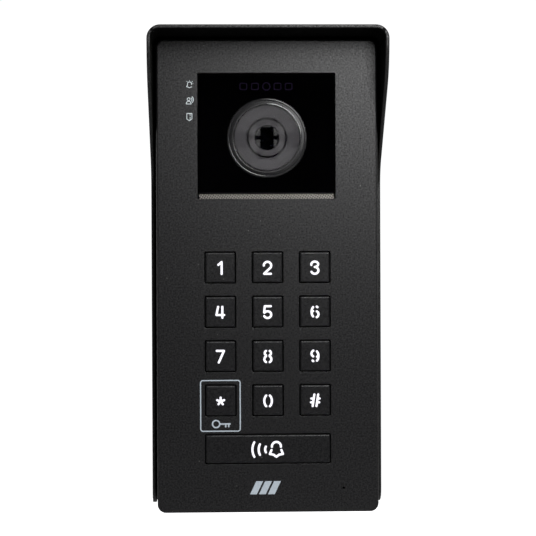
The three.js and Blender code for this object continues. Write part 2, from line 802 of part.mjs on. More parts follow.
addPiece("rain_hood", rainHood(), MATERIALS.coatedMetal);
addPiece("front_cover", frontCover(buttons), MATERIALS.coatedMetal);
addPiece("rear_housing", rearHousing(), MATERIALS.blackPlastic);
addPiece("housing_seal", housingSeal(), MATERIALS.rubberBlack);
addPiece("camera_window", cameraWindow(), MATERIALS.blackAcrylic);
addPiece("dome_bezel", domeBezel(), MATERIALS.bezelPlastic);
addPiece("lens_dome", lensDome(), MATERIALS.clearPlastic);
addPiece("lens_barrel", lensBarrel(), MATERIALS.bezelPlastic);
addPiece("lens_element", lensElement(), MATERIALS.clearPlastic);
addPiece("lens_holder", lensHolder(), MATERIALS.blackPlastic);
addPiece("camera_board", cameraBoard(), MATERIALS.boardGreen);
addPiece("image_sensor", imageSensor(), MATERIALS.lampDark);
addPiece("ir_board", nightBoard(), MATERIALS.boardGreen);
NIGHT.ledXs.forEach((x, i) => addPiece(`ir_led_${i + 1}`, nightLed(x), MATERIALS.lampDark));
addPiece("light_sensor", lightSensor(), MATERIALS.lampDark);
addPiece("speaker_mesh", speakerMesh(), MATERIALS.perforatedMetal);
addPiece("speaker_gasket", speakerGasket(), MATERIALS.rubberBlack);
addPiece("speaker_frame", speakerFrame(), MATERIALS.speakerMetal);
addPiece("speaker_cone", speakerCone(), MATERIALS.paperBlack);
addPiece("microphone_boot", microphoneBoot(), MATERIALS.rubberBlack);
addPiece("microphone", microphone(), MATERIALS.speakerMetal);
addPiece("status_light_guide", statusLightGuide(), MATERIALS.clearPlastic);
for (const button of buttons) {
  addPiece(button.name, keyCap(button), MATERIALS.keyMetal);
  addPiece(`${button.name}_light`, lightInsert(button), MATERIALS.lampWhite);
}
addPiece("keypad_mat", keypadMat(buttons), MATERIALS.greySilicone);
addPiece("keypad_board", keypadBoard(), MATERIALS.boardGreen);
addPiece("main_board", mainBoard(), MATERIALS.boardGreen);
addPiece("terminal_block", terminalBlock(), MATERIALS.terminalGreen);
COVER_SCREWS.forEach(([x, z], i) => addPiece(`cover_screw_${i + 1}`, coverScrew(x, z), MATERIALS.screwSteel));
addPiece("security_screw", securityScrew(), MATERIALS.screwSteel);

export default panel;
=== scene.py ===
"""The look of a wall-mounted door intercom panel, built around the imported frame.

Lengths are in millimetres in the row frame until a mesh is made: x runs to the right
of a person in front of the panel, y into the wall and z up. The wall is y = 0.
"""

import math

import bmesh
import bpy
from mathutils import Matrix, Vector
from mathutils.geometry import delaunay_2d_cdt


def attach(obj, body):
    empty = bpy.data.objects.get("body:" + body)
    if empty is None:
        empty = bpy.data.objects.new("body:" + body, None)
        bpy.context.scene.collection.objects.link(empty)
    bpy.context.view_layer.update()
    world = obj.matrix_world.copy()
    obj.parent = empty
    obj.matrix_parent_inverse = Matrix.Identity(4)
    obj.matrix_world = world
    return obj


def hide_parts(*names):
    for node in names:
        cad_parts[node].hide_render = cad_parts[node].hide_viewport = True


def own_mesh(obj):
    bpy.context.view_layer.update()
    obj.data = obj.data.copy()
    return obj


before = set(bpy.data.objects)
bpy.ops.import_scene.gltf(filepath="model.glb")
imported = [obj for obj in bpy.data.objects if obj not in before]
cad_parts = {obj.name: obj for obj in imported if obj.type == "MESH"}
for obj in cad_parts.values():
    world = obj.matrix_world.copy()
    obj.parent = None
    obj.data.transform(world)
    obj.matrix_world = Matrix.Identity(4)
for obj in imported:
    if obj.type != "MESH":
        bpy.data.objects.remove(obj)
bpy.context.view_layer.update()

MM = 0.001
scene = bpy.context.scene


# ---------- the camera ----------

CAMERA_PLACE = (-18.2, -650.0, 5.35)
CAMERA_LENS = 109.4  # on a 36 mm sensor


def place_camera():
    """The view is almost straight on, with a slight turn and roll."""
    turn = (
        Matrix.Rotation(math.radians(-0.25), 3, "Y")
        @ Matrix.Rotation(math.radians(1.70), 3, "Z")
        @ Matrix.Rotation(math.radians(0.39), 3, "X")
    )
    right, forward, up = turn[0], turn[1], turn[2]
    data = bpy.data.cameras.new("camera")
    data.lens = CAMERA_LENS
    data.sensor_width = 36
    data.clip_start = 0.01
    data.clip_end = 20
    camera = bpy.data.objects.new("camera", data)
    axes = Matrix((right, up, -forward)).transposed().to_4x4()
    camera.matrix_world = Matrix.Translation(Vector(CAMERA_PLACE) * MM) @ axes
    scene.collection.objects.link(camera)
    scene.camera = camera


place_camera()


# ---------- flat outlines ----------

def rounded_rect(width, height, radius, x=0.0, z=0.0, steps=6):
    """A rectangle with round corners, counter-clockwise."""
    across, up = width / 2 - radius, height / 2 - radius
    corners = [(across, up), (-across, up), (-across, -up), (across, -up)]
    loop = []
    for quarter, (cx, cz) in enumerate(corners):
        for step in range(steps + 1):
            angle = math.pi / 2 * (quarter + step / steps)
            across_corner, up_corner = radius * math.cos(angle), radius * math.sin(angle)
            loop.append((x + cx + across_corner, z + cz + up_corner))
    return loop


def circle(radius, x=0.0, z=0.0, steps=32):
    angles = [math.tau * step / steps for step in range(steps)]
    return [(x + radius * math.cos(a), z + radius * math.sin(a)) for a in angles]


def bend(x, z, radius_x, radius_z, start, end, steps=12):
    """Points along part of an ellipse, its angles in degrees."""
    angles = [math.radians(start + (end - start) * step / steps) for step in range(steps + 1)]
    return [(x + radius_x * math.cos(a), z + radius_z * math.sin(a)) for a in angles]


def capsule(start, end, width, steps=7):
    """The outline of a straight pen stroke with round ends."""
    (x0, z0), (x1, z1) = start, end
    heading = math.atan2(z1 - z0, x1 - x0)
    loop = []
    for (x, z), turn in (((x1, z1), -math.pi / 2), ((x0, z0), math.pi / 2)):
        for step in range(steps + 1):
            angle = heading + turn + math.pi * step / steps
            loop.append((x + width / 2 * math.cos(angle), z + width / 2 * math.sin(angle)))
    return loop


def area(loop):
    pairs = zip(loop, loop[1:] + loop[:1])
    return sum(x0 * z1 - x1 * z0 for (x0, z0), (x1, z1) in pairs) / 2


def triangulate(loops):
    """Points, triangles, and for each triangle how many of the loops hold it."""
    points, rings = [], []
    for loop in loops:
        ordered = loop if area(loop) > 0 else loop[::-1]
        rings.append(list(range(len(points), len(points) + len(ordered))))
        points += [Vector(point) for point in ordered]
    result = delaunay_2d_cdt(points, [], rings, 1, 1e-5)
    return [tuple(p) for p in result[0]], result[2], [len(inside) for inside in result[5]]


def fill(loops):
    """Triangles of the region that an odd number of loops hold."""
    points, triangles, depth = triangulate(loops)
    return points, [t for t, count in zip(triangles, depth) if count % 2 == 1]


def union(polygons):
    """The outlines of everything that the overlapping polygons cover."""
    points, triangles, depth = triangulate(polygons)
    edges = set()
    for triangle, count in zip(triangles, depth):
        if count:
            edges.update(zip(triangle, list(triangle[1:]) + [triangle[0]]))
    following = {}
    for a, b in edges:
        if (b, a) not in edges:
            following.setdefault(a, []).append(b)
    loops = []
    while following:
        first = min(following)
        loop, here = [], first
        while here in following:
            ahead = following[here]
            loop.append(points[here])
            step = ahead.pop()
            if not ahead:
                del following[here]
            here = step
            if here == first:
                break
        if len(loop) > 2 and abs(area(loop)) > 1e-4:
            loops.append(loop)
    return loops


def drawn(strokes, width, x=0.0, z=0.0):
    """The outlines of a drawing made with a round pen."""
    polygons = []
    for stroke in strokes:
        placed = [(px + x, pz + z) for px, pz in stroke]
        polygons += [capsule(a, b, width) for a, b in zip(placed, placed[1:])]
    return union(polygons)


# ---------- meshes ----------

def facing(a, b, depth):
    """A drawing seen from the front: a is x, b is z, and depth is y."""
    return (a, depth, b)


def level(a, b, depth):
    """A drawing seen from above: a is x, b is y, and depth is z."""
    return (a, b, depth)


def sideways(a, b, depth):
    """A drawing seen from the side: a is y, b is z, and depth is x."""
    return (depth, a, b)


class Form:
    """Points and faces in millimetres, gathered until they become one mesh."""

    def __init__(self, lay=facing):
        self.lay = lay
        self.points = []
        self.faces = []

    def add(self, points, faces):
        first = len(self.points)
        self.points += points
        self.faces += [[first + i for i in face] for face in faces]

    def sheet(self, loops, depth):
        """A flat face with holes."""
        flat, triangles = fill(loops)
        self.add([self.lay(a, b, depth) for a, b in flat], triangles)

    def skin(self, rings, closed=True):
        """Strips of faces from each ring of points to the next."""
        count = len(rings[0])
        last = count if closed else count - 1
        points = [point for ring in rings for point in ring]
        faces = []
        for row in range(len(rings) - 1):
            for i in range(last):
                j = (i + 1) % count
                a, b = row * count, (row + 1) * count
                faces.append([a + i, a + j, b + j, b + i])
        self.add(points, faces)

    def wall(self, outline, stations):
        """A wall whose outline(inset) follows stations of (inset, depth)."""
        rings = []
        for inset, depth in stations:
            rings.append([self.lay(a, b, depth) for a, b in outline(inset)])
        self.skin(rings)

    def straight(self, loops, start, end):
        for loop in loops:
            self.wall(lambda inset, loop=loop: loop, [(0, start), (0, end)])

    def slab(self, loops, start, end):
        """A flat plate with square edges."""
        self.sheet(loops, start)
        self.sheet(loops, end)
        self.straight(loops, start, end)

    def soft_slab(self, outline, start, end, edge, holes=()):
        """A plate whose outer edges are rounded on both faces."""
        sign = 1 if end > start else -1
        first = [(i, start + sign * d) for i, d in reversed(rounding(edge))]
        second = [(i, end - sign * d) for i, d in rounding(edge)]
        self.wall(outline, first + second)
        for depth in (start, end):
            self.sheet([outline(edge), *holes], depth)
        self.straight(holes, start, end)

    def turned(self, profile, a=0.0, b=0.0, steps=72):
        """A profile of (radius, depth) turned about the axis through (a, b)."""
        rings = []
        for radius, depth in profile:
            ring = circle(max(radius, 1e-4), a, b, steps)
            rings.append([self.lay(pa, pb, depth) for pa, pb in ring])
        self.skin(rings)


def rounding(radius, steps=4):
    """(inset, distance from the face) round an edge, from the side to the face."""
    turns = [math.pi / 2 * step / steps for step in range(steps + 1)]
    return [(radius * (1 - math.cos(t)), radius * (1 - math.sin(t))) for t in turns]


def piece(name, form, material, body="root", stands_for=(), sharp=32):
    """Make the form into an object that rides on a body of the frame."""
    mesh = bpy.data.meshes.new(name)
    mesh.from_pydata([Vector(p) * MM for p in form.points], [], form.faces)
    work = bmesh.new()
    work.from_mesh(mesh)
    bmesh.ops.remove_doubles(work, verts=work.verts, dist=1.5e-6)
    bmesh.ops.dissolve_degenerate(work, edges=work.edges, dist=5e-7)
    bmesh.ops.recalc_face_normals(work, faces=work.faces)
    work.to_mesh(mesh)
    work.free()
    mesh.materials.append(material)
    mesh.shade_smooth()
    mesh.set_sharp_from_angle(angle=math.radians(sharp))
    made = bpy.data.objects.new(name, mesh)
    scene.collection.objects.link(made)
    weights = made.modifiers.new("weighted normals", "WEIGHTED_NORMAL")
    weights.keep_sharp = True
    weights.weight = 90
    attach(made, body)
    if stands_for:
        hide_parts(*stands_for)
    return made


def second_look(made, material, chosen):
    """Give another material to the faces whose centre (x, y, z) in millimetres is chosen."""
    made.data.materials.append(material)
    for face in made.data.polygons:
        if chosen(*(face.center / MM)):
            face.material_index = 1


# ---------- materials ----------

class Recipe:
    """A node material, with short ways to add what each surface needs."""

    def __init__(self, name, colour, roughness, metallic=0.0, **inputs):
        self.material = bpy.data.materials.new(name)
        self.material.use_nodes = True
        self.tree = self.material.node_tree
        self.shader = self.tree.nodes["Principled BSDF"]
        self.place = self.node("ShaderNodeTexCoord").outputs["Object"]
        self.shader.inputs["Base Color"].default_value = (*colour, 1)
        self.shader.inputs["Roughness"].default_value = roughness
        self.shader.inputs["Metallic"].default_value = metallic
        for socket, value in inputs.items():
            self.shader.inputs[socket.replace("_", " ")].default_value = value
        self.colour = (*colour, 1)

    def node(self, kind, **settings):
        made = self.tree.nodes.new(kind)
        for key, value in settings.items():
            setattr(made, key, value)
        return made

    def link(self, source, target):
        self.tree.links.new(source, target)

    def stretched(self, scale):
        mapping = self.node("ShaderNodeMapping")
        mapping.inputs["Scale"].default_value = scale
        self.link(self.place, mapping.inputs["Vector"])
        return mapping.outputs["Vector"]

    def noise(self, scale, detail=3.0, place=None):
        made = self.node("ShaderNodeTexNoise")
        made.inputs["Scale"].default_value = scale
        made.inputs["Detail"].default_value = detail
        self.link(place or self.place, made.inputs["Vector"])
        return made.outputs["Fac"]

    def spread(self, value, low, high, start=0.3, end=0.7):
        made = self.node("ShaderNodeMapRange")
        made.inputs["From Min"].default_value = start
        made.inputs["From Max"].default_value = end
        made.inputs["To Min"].default_value = low
        made.inputs["To Max"].default_value = high
        self.link(value, made.inputs["Value"])
        return made.outputs["Result"]

    def blend_colour(self, share, other):
        """Mix the colour so far with another one."""
        mix = self.node("ShaderNodeMix", data_type="RGBA")
        self.link(share, mix.inputs["Factor"])
        earlier = self.shader.inputs["Base Color"].links
        if earlier:
            self.link(earlier[0].from_socket, mix.inputs["A"])
        else:
            mix.inputs["A"].default_value = self.colour
        mix.inputs["B"].default_value = (*other, 1)
        self.link(mix.outputs["Result"], self.shader.inputs["Base Color"])
        return self

    def mottle(self, scale, other, low=0.0, high=1.0, detail=3.0, start=0.3, end=0.7):
        share = self.spread(self.noise(scale, detail), low, high, start, end)
        return self.blend_colour(share, other)

    def uneven_gloss(self, scale, low, high):
        self.link(self.spread(self.noise(scale), low, high), self.shader.inputs["Roughness"])
        return self

    def grain(self, scale, height, strength=0.5, detail=2.0, place=None):
        """Fine relief, its height in millimetres."""
        bump = self.node("ShaderNodeBump")
        bump.inputs["Strength"].default_value = strength
        bump.inputs["Distance"].default_value = height * MM
        self.link(self.noise(scale, detail, place), bump.inputs["Height"])
        earlier = self.shader.inputs["Normal"].links
        if earlier:
            self.link(earlier[0].from_socket, bump.inputs["Normal"])
        self.link(bump.outputs["Normal"], self.shader.inputs["Normal"])
        return self

    def specks(self, scale, other, size, rarity=0.93):
        """A few small dots of another colour."""
        dots = self.node("ShaderNodeTexVoronoi")
        dots.inputs["Scale"].default_value = scale
        self.link(self.place, dots.inputs["Vector"])
        near = self.spread(dots.outputs["Distance"], 1.0, 0.0, size * 0.5, size)
        split = self.node("ShaderNodeSeparateColor")
        self.link(dots.outputs["Color"], split.inputs["Color"])
        chosen = self.spread(split.outputs["Red"], 0.0, 1.0, rarity, rarity + 0.005)
        both = self.node("ShaderNodeMath", operation="MULTIPLY")
        self.link(near, both.inputs[0])
        self.link(chosen, both.inputs[1])
        return self.blend_colour(both.outputs["Value"], other)


def coating(name, colour, lighter, roughness, shine):
    """Fine black powder coat: even, slightly speckled, with a dry sheen."""
    recipe = Recipe(name, colour, roughness)
    recipe.mottle(1500, lighter, 0.0, 1.0, detail=2.0)
    recipe.mottle(160, [c * 0.8 for c in colour], 0.0, 0.3)
    recipe.specks(420, (0.12, 0.12, 0.115), 0.09)
    sheen = recipe.spread(recipe.noise(1700, 2.0), shine * 0.35, shine * 1.65, 0.3, 0.7)
    recipe.link(sheen, recipe.shader.inputs["Specular IOR Level"])
    recipe.uneven_gloss(900, roughness - 0.03, roughness + 0.03)
    recipe.grain(3200, 0.012, 0.45)
    recipe.grain(700, 0.006, 0.25)
    return recipe.material


COAT = coating("cover_coating", (0.0025, 0.0025, 0.0028), (0.006, 0.0058, 0.0066), 0.385, 0.26)
HOOD_COAT = coating("hood_coating", (0.0025, 0.0025, 0.0025), (0.005, 0.005, 0.0049), 0.42, 0.28)
# The darker, duller copy of the hood's coat is painted shade for the faces inside the hood, where
# little light reaches.
HOOD_PAINTED_SHADE = coating("hood_painted_shade", (0.0012, 0.0012, 0.0012), (0.002, 0.002, 0.002), 0.6, 0.04)
KEY_COAT = coating("key_metal", (0.0025, 0.0025, 0.0029), (0.005, 0.005, 0.0058), 0.4, 0.2)

GLOW = Recipe("white_light", (0.3, 0.3, 0.32), 0.5)
GLOW.mottle(500, (0.26, 0.26, 0.29), 0.0, 0.5)
GLOW.shader.inputs["Emission Color"].default_value = (0.93, 0.92, 1.0, 1)
GLOW.shader.inputs["Emission Strength"].default_value = 0.85

INK = Recipe("pale_ink", (0.36, 0.41, 0.45), 0.55)
INK.mottle(900, (0.30, 0.34, 0.385), 0.0, 0.8).grain(2400, 0.004)

ICON_GLOW = Recipe("icon_light", (0.66, 0.73, 0.75), 0.45)
ICON_GLOW.mottle(700, (0.52, 0.58, 0.6), 0.0, 0.7)

ACRYLIC = Recipe("black_acrylic", (0.0008, 0.0008, 0.001), 0.03, Specular_IOR_Level=0.45)
ACRYLIC.mottle(60, (0.0015, 0.0013, 0.002), 0.0, 0.6).specks(300, (0.02, 0.02, 0.02), 0.06, 0.97)
ACRYLIC.uneven_gloss(40, 0.02, 0.05)

LED_TINT = Recipe("led_window", (0.02, 0.013, 0.036), 0.08)
LED_TINT.mottle(800, (0.028, 0.019, 0.048), 0.0, 1.0)

BEZEL = Recipe("bezel_black", (0.006, 0.006, 0.0065), 0.14, Specular_IOR_Level=0.5)
BEZEL.mottle(80, (0.007, 0.007, 0.0075), 0.0, 0.6).uneven_gloss(60, 0.12, 0.16)

LIP_BLACK = Recipe(
    "lip_black", (0.012, 0.012, 0.013), 0.16, Specular_IOR_Level=1.0, Coat_Weight=1.0
)
LIP_BLACK.mottle(80, (0.015, 0.015, 0.016), 0.0, 0.6).uneven_gloss(60, 0.14, 0.18)

# The holder's grey is lighter than the part so that it also stands in for the dome's reflection of
# the bright surroundings: partly its own grey, partly painted reflection.
EYE_GREY_PAINTED_REFLECTION = Recipe("eye_grey_painted_reflection", (0.155, 0.149, 0.162), 0.4)
EYE_GREY_PAINTED_REFLECTION.mottle(60, (0.14, 0.134, 0.147), 0.0, 0.8).uneven_gloss(50, 0.36, 0.42)

# The barrel's front is dark; this mid grey stands in for the dome's reflection over it: painted
# reflection.
BARREL_PAINTED_REFLECTION = Recipe("barrel_painted_reflection", (0.25, 0.242, 0.256), 0.35, 0.2)
BARREL_PAINTED_REFLECTION.mottle(80, (0.22, 0.213, 0.225), 0.0, 0.9).uneven_gloss(60, 0.3, 0.38)

BLACK_PLASTIC = Recipe("black_plastic", (0.012, 0.012, 0.012), 0.5)
BLACK_PLASTIC.mottle(1200, (0.02, 0.02, 0.02), 0.0, 0.6).uneven_gloss(600, 0.42, 0.6)
BLACK_PLASTIC.grain(2200, 0.02, 0.4)

RUBBER = Recipe("black_rubber", (0.011, 0.011, 0.011), 0.8)
RUBBER.mottle(900, (0.019, 0.019, 0.018), 0.0, 0.7).grain(1500, 0.02, 0.4)

CLEAR = Recipe("clear_dome", (1, 1, 1), 0.015, Transmission_Weight=1.0, IOR=1.3)
CLEAR.uneven_gloss(30, 0.01, 0.02)

LENS = Recipe("lens_glass", (0.002, 0.002, 0.003), 0.02, Specular_IOR_Level=0.7, Coat_Weight=0.4)
LENS.mottle(50, (0.003, 0.003, 0.007), 0.0, 1.0).uneven_gloss(60, 0.01, 0.03)

STEEL_MESH = Recipe("perforated_steel", (0.3, 0.288, 0.262), 0.42, 0.9)
STEEL_MESH.mottle(200, (0.26, 0.25, 0.228), 0.0, 0.9).uneven_gloss(150, 0.4, 0.5)

SCREW_STEEL = Recipe("screw_steel", (0.55, 0.55, 0.54), 0.3, 1.0)
SCREW_STEEL.mottle(400, (0.42, 0.42, 0.42), 0.0, 0.8).uneven_gloss(500, 0.22, 0.42)
SCREW_STEEL.grain(260, 0.01, 0.4, place=SCREW_STEEL.stretched((1, 1, 12)))

SPEAKER_STEEL = Recipe("speaker_steel", (0.03, 0.03, 0.032), 0.45, 0.6)
SPEAKER_STEEL.mottle(500, (0.02, 0.02, 0.021), 0.0, 0.8).grain(1200, 0.01)

PAPER = Recipe("paper_black", (0.015, 0.014, 0.013), 0.9)
PAPER.mottle(800, (0.03, 0.028, 0.025), 0.0, 0.8).grain(1800, 0.03)

SILICONE = Recipe("grey_silicone", (0.42, 0.44, 0.45), 0.7, Subsurface_Weight=0.1)
SILICONE.mottle(300, (0.36, 0.38, 0.39), 0.0, 0.6).grain(900, 0.01)

BOARD = Recipe("green_board", (0.003, 0.02, 0.009), 0.4)
BOARD.mottle(250, (0.005, 0.034, 0.015), 0.0, 1.0, start=0.47, end=0.5).grain(250, 0.02, 0.5)

TERMINAL = Recipe("terminal_green", (0.03, 0.2, 0.07), 0.45)
TERMINAL.mottle(600, (0.02, 0.15, 0.05), 0.0, 0.7).uneven_gloss(500, 0.38, 0.55).grain(1500, 0.015)

PALE_FLOOR = Recipe("pale_floor", (0.55, 0.55, 0.55), 0.75)
PALE_FLOOR.mottle(3, (0.52, 0.52, 0.525), 0.0, 1.0)
PALE_FLOOR.shader.inputs["Emission Color"].default_value = (1, 1, 1, 1)
seen_directly = PALE_FLOOR.node("ShaderNodeLightPath").outputs["Is Camera Ray"]
floor_glow = PALE_FLOOR.spread(seen_directly, 0, 0.9, 0, 1)
PALE_FLOOR.link(floor_glow, PALE_FLOOR.shader.inputs["Emission Strength"])


# ---------- the rain hood ----------

HOOD_WIDTH = 89.4
HOOD_TOP = 90.825
SHEET = 1.4
HOOD_CORNER = 5.0
FLANGE_Y = -14.7
SHADE_Y = -51.7
FOLD = 1.3  # outer radius where the sides fold away from the back
RIM = 0.42  # rounding of the cut edge of the sheet
LOCK_SCREW_PLACE = (0, -5.4)  # x and y of its upright axis


def hood_side_edge():
    """(z, y) of the front edge of the hood's side, from the foot to the shade."""
    foot = bend(FLANGE_Y + 6, -HOOD_TOP + 6, 6, 6, 270, 180, 8)
    lower = bend(FLANGE_Y - 15, HOOD_TOP - 58.3, 15, 15, 0, 45, 12)
    upper = bend(SHADE_Y + 24, HOOD_TOP - 5.16, 24, 24, 225, 180, 16)
    flange_low, flange_high = foot[-1], lower[0]
    middle = [
        (FLANGE_Y, flange_low[1] + (flange_high[1] - flange_low[1]) * share / 8)
        for share in range(1, 8)
    ]
    return [(z, y) for y, z in foot + middle + lower + upper]


def hood_path():
    """(x, z, outward x, outward z, front y) round the hood, from foot to foot."""
    half = HOOD_WIDTH / 2
    side = [(-half, z, -1.0, 0.0, y) for z, y in hood_side_edge()]
    corner = []
    for step in range(1, 11):
        angle = math.pi - math.pi / 2 * step / 10
        out_x, out_z = math.cos(angle), math.sin(angle)
        x = -half + HOOD_CORNER + HOOD_CORNER * out_x
        z = HOOD_TOP - HOOD_CORNER + HOOD_CORNER * out_z
        corner.append((x, z, out_x, out_z, SHADE_Y))
    left = side + corner
    right = [(-x, z, -out_x, out_z, y) for x, z, out_x, out_z, y in reversed(left)]
    middle = [(x, HOOD_TOP, 0.0, 1.0, SHADE_Y) for x in (-26.0, -13.0, 0.0, 13.0, 26.0)]
    return left + middle + right


def hood_hook():
    """The hook that the station hangs on: an arm from the back plate and a raised tip."""
    hook = Form(sideways)
    for low, high, base, tip in ((-5.4, -0.7, 73, 74.4), (-5.4, -4, 73.7, 77.4)):
        width, height = high - low, tip - base
        centre = ((low + high) / 2, (base + tip) / 2)

        def outline(inset, width=width, height=height, centre=centre):
            return rounded_rect(width - 2 * inset, height - 2 * inset, 0.3, *centre, steps=3)

        hook.soft_slab(outline, -5, 5, 0.2)
    return hook


def lock_tab():
    """The tab at the foot with the hole for the lock screw."""
    def outline(inset):
        return rounded_rect(14 - 2 * inset, 8.1 - 2 * inset, 1.2 - inset, 0, -4.75)

    tab = Form(level)
    tab.soft_slab(outline, -87.4, -86, 0.25, [circle(1.75, *LOCK_SCREW_PLACE)])
    return tab


def build_hood():
    form = Form()
    path = hood_path()
    sections = []
    for x, z, out_x, out_z, front in path:
        stations = [(inset, -away) for inset, away in reversed(rounding(FOLD))]
        stations += [(inset, front + away) for inset, away in rounding(RIM, 3)]
        stations += [(SHEET - inset, front + away) for inset, away in reversed(rounding(RIM, 3))]
        stations += [(SHEET, -SHEET)]
        sections.append([(x - out_x * inset, y, z - out_z * inset) for inset, y in stations])
    form.skin(sections, closed=False)
    first, last = sections[0], sections[-1]
    form.add(first + last[::-1], [list(range(len(first) + len(last)))])

    def plate(inset):
        return [(x - out_x * inset, z - out_z * inset) for x, z, out_x, out_z, _ in path]

    openings = [rounded_rect(4.6, 9, 2.29, x, z) for x in (-26, 26) for z in (-64, 64)]
    openings.append(rounded_rect(30, 48, 3, 0, -37))
    form.sheet([plate(FOLD), *openings], 0)
    form.sheet([plate(SHEET), *openings], -SHEET)
    form.straight(openings, 0, -SHEET)

    for part in (hood_hook(), lock_tab()):
        form.add(part.points, part.faces)
    hood = piece("hood", form, HOOD_COAT, stands_for=["rain_hood"])
    # Faces inside the hood take the darker copy of the coat: painted shade.
    margin = 0.05
    within_x = HOOD_WIDTH / 2 - SHEET + margin
    within_z = HOOD_TOP - SHEET + margin

    def inside(x, y, z):
        return abs(x) < within_x and y < -SHEET and z < within_z

    second_look(hood, HOOD_PAINTED_SHADE, inside)


# ---------- the keys' places and legends ----------

FACE_Y = -30.0
COVER_BACK_Y = -27.5  # the inner side of the cover's face
KEY_SIZE = (11.3, 11.5)
CALL_SIZE = (47.3, 10.85)
KEY_PITCH_X, KEY_PITCH_Z = 18.0, 16.87
TOP_ROW_Z = 1.36
GAP = 0.35  # between a cap and its opening
KEY_CORNER = 0.5
LEGEND_STROKE = 0.85


def mirrored(stroke):
    return [(-x, z) for x, z in stroke]


def half_turned(stroke):
    return [(-x, -0.2 - z) for x, z in stroke]


SIX = [
    bend(0.14, -0.1, 1.42, 2.2, 126, 234),
    [(-1.0, -0.05), (-0.7, 0.14)],
    [(0.7, 1.86), (0.98, 1.62)],
    bend(0.12, -1.05, 1.25, 1.25, 62, -64),
]
HALF_EIGHT = bend(-0.08, 1.13, 1.12, 1.0, 123, 237, 8) + bend(-0.08, -1.2, 1.27, 1.25, 119, 241, 8)
HALF_ZERO = bend(-0.02, -0.2, 1.42, 2.3, 118, 242)
STAR_CENTRE = (-0.05, -0.25)


def star_arm(angle):
    return [STAR_CENTRE, bend(*STAR_CENTRE, 1.4, 1.4, angle, angle, 1)[0]]


LEGENDS = {
    "1": [[(-0.7, 1.05), (0.42, 1.98)], [(0.55, 2.1), (0.55, -2.4)]],
    "2": [bend(0, 0.72, 1.42, 1.42, 180, -35) + [(-1.25, -2.3)], [(-1.3, -2.42), (1.3, -2.42)]],
    "3": [bend(0, 1.13, 1.32, 1.03, 195, -90), bend(0, -1.2, 1.4, 1.3, 90, -155)],
    "4": [[(-0.85, 1.95), (-1.5, -1.15), (1.45, -1.15)], [(0.75, 1.95), (0.75, -2.2)]],
    "5": [[(1.2, 2.1), (-1.1, 2.1), (-1.35, -0.3)], bend(-0.05, -1.1, 1.4, 1.3, 145, -155)],
    "6": SIX,
    "7": [[(-1.45, 2.07), (1.3, 2.07), (-0.68, -2.35)]],
    "8": [HALF_EIGHT, mirrored(HALF_EIGHT)],
    "9": [half_turned(stroke) for stroke in SIX],
    "star": [star_arm(angle) for angle in (90, 18, 162, 234, 306)],
    "0": [HALF_ZERO, mirrored(HALF_ZERO)],
    "hash": [
        [(-0.34, 2.1), (-1.0, -2.3)],
        [(1.12, 2.1), (0.44, -2.3)],
        [(-1.5, 0.58), (-0.7, 0.58)],
        [(-1.65, -0.88), (-0.9, -0.88)],
        [(0.9, 0.58), (1.65, 0.58)],
        [(0.7, -0.88), (1.5, -0.88)],
    ],
}
BELL_SKIRT = [
    (1.28, -0.4), (0.65, -1.92), (2.08, -2.2), (3.13, -3.0),
    (4.17, -2.2), (5.65, -1.92), (5.05, -0.4),
]
CALL_STROKES = [
    bend(-0.25, -0.2, 5.73, 5.73, 151, 209),
    bend(0.81, -0.2, 4.41, 4.41, 153, 207),
    bend(1.14, -0.2, 2.28, 2.28, 151, 209),
    bend(3.16, 0.95, 1.72, 1.72, 185, -5),
    BELL_SKIRT,
]


def all_keys():
    """(name, x, z, size, strokes, stem offsets) of the keys and the call button."""
    keys = []
    for i, (legend, strokes) in enumerate(LEGENDS.items()):
        x = (i % 3 - 1) * KEY_PITCH_X
        z = TOP_ROW_Z - KEY_PITCH_Z * (i // 3)
        keys.append((f"key_{legend}", x, z, KEY_SIZE, strokes, [0]))
    keys.append(("call_button", -0.05, -67.78, CALL_SIZE, CALL_STROKES, [-16, 0, 16]))
    return keys


KEYS = all_keys()

# The pictograms beside the window: a ringing bell, a speaking person and a door.
ICON_STROKE = 0.22
ICONS = {
    "icon_bell": (-29.3, 71.0, [
        bend(-0.05, 0.12, 0.8, 0.85, 205, -10, 10),
        [(-0.78, -0.15), (-1.15, -0.85), (-0.45, -1.0), (-0.1, -1.25), (0.3, -1.0), (0.85, -0.95)],
        [(-0.95, 1.05), (-1.1, 1.25)],
        [(-0.05, 1.4), (-0.05, 1.5)],
        [(0.9, 1.0), (1.1, 1.2)],
        [(1.2, 0.35), (1.3, 0.35)],
    ]),
    "icon_person": (-29.2, 64.8, [
        bend(-0.5, 0.62, 0.56, 0.56, 0, 360, 14),
        bend(-0.5, -1.2, 0.95, 1.05, 180, 0, 10) + [(-1.45, -1.2)],
        bend(-0.3, 0.45, 1.05, 1.05, 42, -38, 6),
        bend(-0.3, 0.45, 1.6, 1.6, 46, -44, 8),
    ]),
    "icon_door": (-29.47, 58.65, [
        [(-0.95, -0.75), (-0.95, 1.35), (0.98, 1.35), (0.98, -0.75)],
        [(-0.95, -0.75), (-0.02, -1.4), (0.2, -1.3), (0.98, -0.75)],
        [(0.3, 1.35), (0.3, 0.5)],
        [(0.3, 0.0), (0.3, -1.25)],
    ]),
}


# ---------- the cover ----------

SCREW_PLACES = [(-35.8, 82), (35.8, 82), (35.8, -85.6), (-35.8, -85.6)]
MICROPHONE_PLACE = (28.77, -82.92)


def cover_outline(inset, steps=8):
    radius = max(3.2 - inset, 0.9)
    return rounded_rect(84.4 - 2 * inset, 180.3 - 2 * inset, radius, 0, -1.9, steps)


